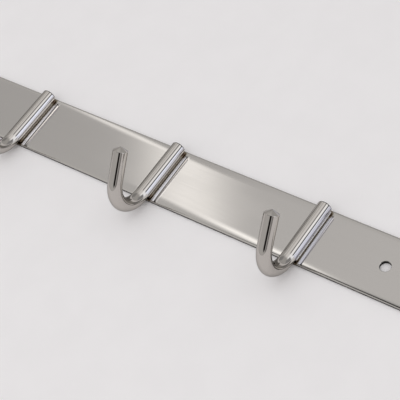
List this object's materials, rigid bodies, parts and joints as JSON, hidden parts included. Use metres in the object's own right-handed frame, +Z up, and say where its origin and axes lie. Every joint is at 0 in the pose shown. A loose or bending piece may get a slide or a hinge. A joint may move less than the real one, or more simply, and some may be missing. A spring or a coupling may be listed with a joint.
{
  "type": "coat hook rack",
  "caption": "Wall rack: a flat polished steel strip with bent round-rod hooks welded across its front, screwed to a wall to hang coats, towels or utensils.",
  "frame": {"origin": "centre of the strip's back face, on the wall", "axes": "+X along the strip to the viewer's right, +Y into the wall, +Z up; the hooks reach towards -Y"},
  "size_m": [0.27, 0.0381, 0.046],
  "materials": {
    "strip_steel": "mirror polished stainless steel strip",
    "rod_steel": "polished stainless steel rod",
    "weld_metal": "weld bead with brown heat tint"
  },
  "bodies": {
    "root": {"back_plate": "strip_steel", "left_hook": "rod_steel", "left_upper_weld": "weld_metal", "left_lower_weld": "weld_metal", "middle_hook": "rod_steel", "middle_upper_weld": "weld_metal", "middle_lower_weld": "weld_metal", "right_hook": "rod_steel", "right_upper_weld": "weld_metal", "right_lower_weld": "weld_metal"}
  },
  "joints": []
}
